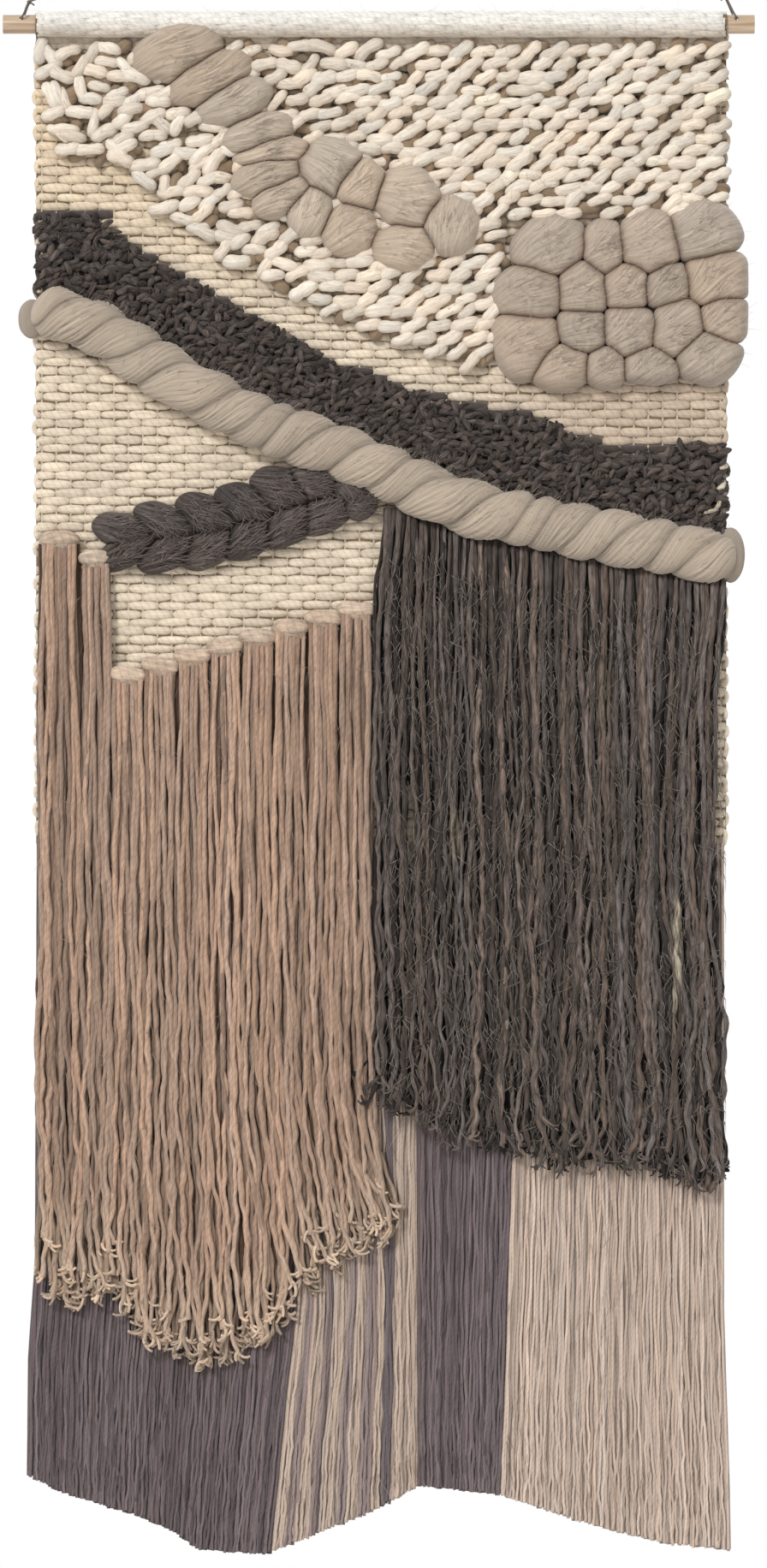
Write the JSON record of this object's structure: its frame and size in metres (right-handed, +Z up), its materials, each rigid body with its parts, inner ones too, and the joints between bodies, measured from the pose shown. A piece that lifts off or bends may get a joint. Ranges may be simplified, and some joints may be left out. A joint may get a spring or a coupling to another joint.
{
  "type": "tapestry wall hanging",
  "caption": "Hand-woven wall hanging with loop pile, wool puffs, a twisted roving band and long swinging fringes, slung from a wooden dowel on a cord.",
  "frame": {"origin": "the point of the hanging cord that goes over the nail", "axes": "+Z up, +X along the dowel to the viewer's right, -Y the front of the cloth, +Y towards the wall"},
  "size_m": [0.76, 0.0506, 1.6806],
  "materials": {
    "dowel_wood": "satin",
    "cord": "matte",
    "cream_yarn": "matte",
    "loop_yarn": "matte",
    "beige_roving": "matte",
    "charcoal_yarn": "matte",
    "grey_roving": "matte",
    "brown_yarn": "matte",
    "mauve_yarn": "matte",
    "striped_yarn": "matte",
    "beige_yarn": "matte"
  },
  "bodies": {
    "hanger": {"dowel": "dowel_wood", "hanger_cord": "cord", "hanger_hitch_left": "cord", "hanger_hitch_right": "cord"},
    "weaving": {"top_sleeve": "cream_yarn", "ground_cloth": "cream_yarn", "loop_pile": "loop_yarn", "roving_lobes": "beige_roving", "roving_puffs": "beige_roving", "puff_row_1": "beige_roving", "puff_row_2": "beige_roving", "puff_row_3": "beige_roving", "puff_row_4": "beige_roving", "charcoal_band": "charcoal_yarn", "twisted_roving": "beige_roving", "grey_braid": "grey_roving", "brown_knots": "brown_yarn", "charcoal_knots": "charcoal_yarn", "base_fringe_dark_left": "mauve_yarn", "base_fringe_striped": "striped_yarn", "base_fringe_dark_middle": "mauve_yarn", "base_fringe_beige": "beige_yarn"},
    "brown_tassel_1": {"brown_tassel_1": "brown_yarn"},
    "brown_tassel_2": {"brown_tassel_2": "brown_yarn"},
    "brown_tassel_3": {"brown_tassel_3": "brown_yarn"},
    "brown_tassel_4": {"brown_tassel_4": "brown_yarn"},
    "brown_tassel_5": {"brown_tassel_5": "brown_yarn"},
    "brown_tassel_6": {"brown_tassel_6": "brown_yarn"},
    "brown_tassel_7": {"brown_tassel_7": "brown_yarn"},
    "brown_tassel_8": {"brown_tassel_8": "brown_yarn"},
    "brown_tassel_9": {"brown_tassel_9": "brown_yarn"},
    "brown_tassel_10": {"brown_tassel_10": "brown_yarn"},
    "charcoal_tassel_1": {"charcoal_tassel_1": "charcoal_yarn"},
    "charcoal_tassel_2": {"charcoal_tassel_2": "charcoal_yarn"},
    "charcoal_tassel_3": {"charcoal_tassel_3": "charcoal_yarn"},
    "charcoal_tassel_4": {"charcoal_tassel_4": "charcoal_yarn"},
    "charcoal_tassel_5": {"charcoal_tassel_5": "charcoal_yarn"},
    "charcoal_tassel_6": {"charcoal_tassel_6": "charcoal_yarn"},
    "charcoal_tassel_7": {"charcoal_tassel_7": "charcoal_yarn"},
    "charcoal_tassel_8": {"charcoal_tassel_8": "charcoal_yarn"},
    "charcoal_tassel_9": {"charcoal_tassel_9": "charcoal_yarn"},
    "charcoal_tassel_10": {"charcoal_tassel_10": "charcoal_yarn"},
    "charcoal_tassel_11": {"charcoal_tassel_11": "charcoal_yarn"}
  },
  "joints": [
    {"name": "cloth_swing", "type": "hinge", "parent": "hanger", "child": "weaving", "pos_m": [0, 0, -0.132], "axis": [-1, 0, 0], "range_deg": [0, 30]},
    {"name": "brown_tassel_1_swing", "type": "hinge", "parent": "weaving", "child": "brown_tassel_1", "pos_m": [0, -0.0008, -0.6698], "axis": [-1, 0, 0], "range_deg": [0, 60]},
    {"name": "brown_tassel_2_swing", "type": "hinge", "parent": "weaving", "child": "brown_tassel_2", "pos_m": [0, -0.0008, -0.7038], "axis": [-1, 0, 0], "range_deg": [0, 60]},
    {"name": "brown_tassel_3_swing", "type": "hinge", "parent": "weaving", "child": "brown_tassel_3", "pos_m": [0, -0.0008, -0.8068], "axis": [-1, 0, 0], "range_deg": [0, 60]},
    {"name": "brown_tassel_4_swing", "type": "hinge", "parent": "weaving", "child": "brown_tassel_4", "pos_m": [0, -0.0008, -0.7973], "axis": [-1, 0, 0], "range_deg": [0, 60]},
    {"name": "brown_tassel_5_swing", "type": "hinge", "parent": "weaving", "child": "brown_tassel_5", "pos_m": [0, -0.0008, -0.7878], "axis": [-1, 0, 0], "range_deg": [0, 60]},
    {"name": "brown_tassel_6_swing", "type": "hinge", "parent": "weaving", "child": "brown_tassel_6", "pos_m": [0, -0.0008, -0.7783], "axis": [-1, 0, 0], "range_deg": [0, 60]},
    {"name": "brown_tassel_7_swing", "type": "hinge", "parent": "weaving", "child": "brown_tassel_7", "pos_m": [0, -0.0008, -0.7688], "axis": [-1, 0, 0], "range_deg": [0, 60]},
    {"name": "brown_tassel_8_swing", "type": "hinge", "parent": "weaving", "child": "brown_tassel_8", "pos_m": [0, -0.0008, -0.7593], "axis": [-1, 0, 0], "range_deg": [0, 60]},
    {"name": "brown_tassel_9_swing", "type": "hinge", "parent": "weaving", "child": "brown_tassel_9", "pos_m": [0, -0.0008, -0.7498], "axis": [-1, 0, 0], "range_deg": [0, 60]},
    {"name": "brown_tassel_10_swing", "type": "hinge", "parent": "weaving", "child": "brown_tassel_10", "pos_m": [0, -0.0008, -0.7403], "axis": [-1, 0, 0], "range_deg": [0, 60]},
    {"name": "charcoal_tassel_1_swing", "type": "hinge", "parent": "weaving", "child": "charcoal_tassel_1", "pos_m": [0, -0.0028, -0.64683], "axis": [-1, 0, 0], "range_deg": [0, 60]},
    {"name": "charcoal_tassel_2_swing", "type": "hinge", "parent": "weaving", "child": "charcoal_tassel_2", "pos_m": [0, -0.0028, -0.65939], "axis": [-1, 0, 0], "range_deg": [0, 60]},
    {"name": "charcoal_tassel_3_swing", "type": "hinge", "parent": "weaving", "child": "charcoal_tassel_3", "pos_m": [0, -0.0028, -0.67005], "axis": [-1, 0, 0], "range_deg": [0, 60]},
    {"name": "charcoal_tassel_4_swing", "type": "hinge", "parent": "weaving", "child": "charcoal_tassel_4", "pos_m": [0, -0.0028, -0.67749], "axis": [-1, 0, 0], "range_deg": [0, 60]},
    {"name": "charcoal_tassel_5_swing", "type": "hinge", "parent": "weaving", "child": "charcoal_tassel_5", "pos_m": [0, -0.0028, -0.68453], "axis": [-1, 0, 0], "range_deg": [0, 60]},
    {"name": "charcoal_tassel_6_swing", "type": "hinge", "parent": "weaving", "child": "charcoal_tassel_6", "pos_m": [0, -0.0028, -0.69011], "axis": [-1, 0, 0], "range_deg": [0, 60]},
    {"name": "charcoal_tassel_7_swing", "type": "hinge", "parent": "weaving", "child": "charcoal_tassel_7", "pos_m": [0, -0.0028, -0.69572], "axis": [-1, 0, 0], "range_deg": [0, 60]},
    {"name": "charcoal_tassel_8_swing", "type": "hinge", "parent": "weaving", "child": "charcoal_tassel_8", "pos_m": [0, -0.0028, -0.70176], "axis": [-1, 0, 0], "range_deg": [0, 60]},
    {"name": "charcoal_tassel_9_swing", "type": "hinge", "parent": "weaving", "child": "charcoal_tassel_9", "pos_m": [0, -0.0028, -0.70781], "axis": [-1, 0, 0], "range_deg": [0, 60]},
    {"name": "charcoal_tassel_10_swing", "type": "hinge", "parent": "weaving", "child": "charcoal_tassel_10", "pos_m": [0, -0.0028, -0.7124], "axis": [-1, 0, 0], "range_deg": [0, 60]},
    {"name": "charcoal_tassel_11_swing", "type": "hinge", "parent": "weaving", "child": "charcoal_tassel_11", "pos_m": [0, -0.0028, -0.71686], "axis": [-1, 0, 0], "range_deg": [0, 60]}
  ],
  "couplings": [
    {"joint": "brown_tassel_1_swing", "follows": "brown_tassel_6_swing", "ratio": 1},
    {"joint": "brown_tassel_2_swing", "follows": "brown_tassel_6_swing", "ratio": 1},
    {"joint": "brown_tassel_3_swing", "follows": "brown_tassel_6_swing", "ratio": 1},
    {"joint": "brown_tassel_4_swing", "follows": "brown_tassel_6_swing", "ratio": 1},
    {"joint": "brown_tassel_5_swing", "follows": "brown_tassel_6_swing", "ratio": 1},
    {"joint": "brown_tassel_7_swing", "follows": "brown_tassel_6_swing", "ratio": 1},
    {"joint": "brown_tassel_8_swing", "follows": "brown_tassel_6_swing", "ratio": 1},
    {"joint": "brown_tassel_9_swing", "follows": "brown_tassel_6_swing", "ratio": 1},
    {"joint": "brown_tassel_10_swing", "follows": "brown_tassel_6_swing", "ratio": 1},
    {"joint": "charcoal_tassel_1_swing", "follows": "charcoal_tassel_6_swing", "ratio": 1},
    {"joint": "charcoal_tassel_2_swing", "follows": "charcoal_tassel_6_swing", "ratio": 1},
    {"joint": "charcoal_tassel_3_swing", "follows": "charcoal_tassel_6_swing", "ratio": 1},
    {"joint": "charcoal_tassel_4_swing", "follows": "charcoal_tassel_6_swing", "ratio": 1},
    {"joint": "charcoal_tassel_5_swing", "follows": "charcoal_tassel_6_swing", "ratio": 1},
    {"joint": "charcoal_tassel_7_swing", "follows": "charcoal_tassel_6_swing", "ratio": 1},
    {"joint": "charcoal_tassel_8_swing", "follows": "charcoal_tassel_6_swing", "ratio": 1},
    {"joint": "charcoal_tassel_9_swing", "follows": "charcoal_tassel_6_swing", "ratio": 1},
    {"joint": "charcoal_tassel_10_swing", "follows": "charcoal_tassel_6_swing", "ratio": 1},
    {"joint": "charcoal_tassel_11_swing", "follows": "charcoal_tassel_6_swing", "ratio": 1}
  ]
}
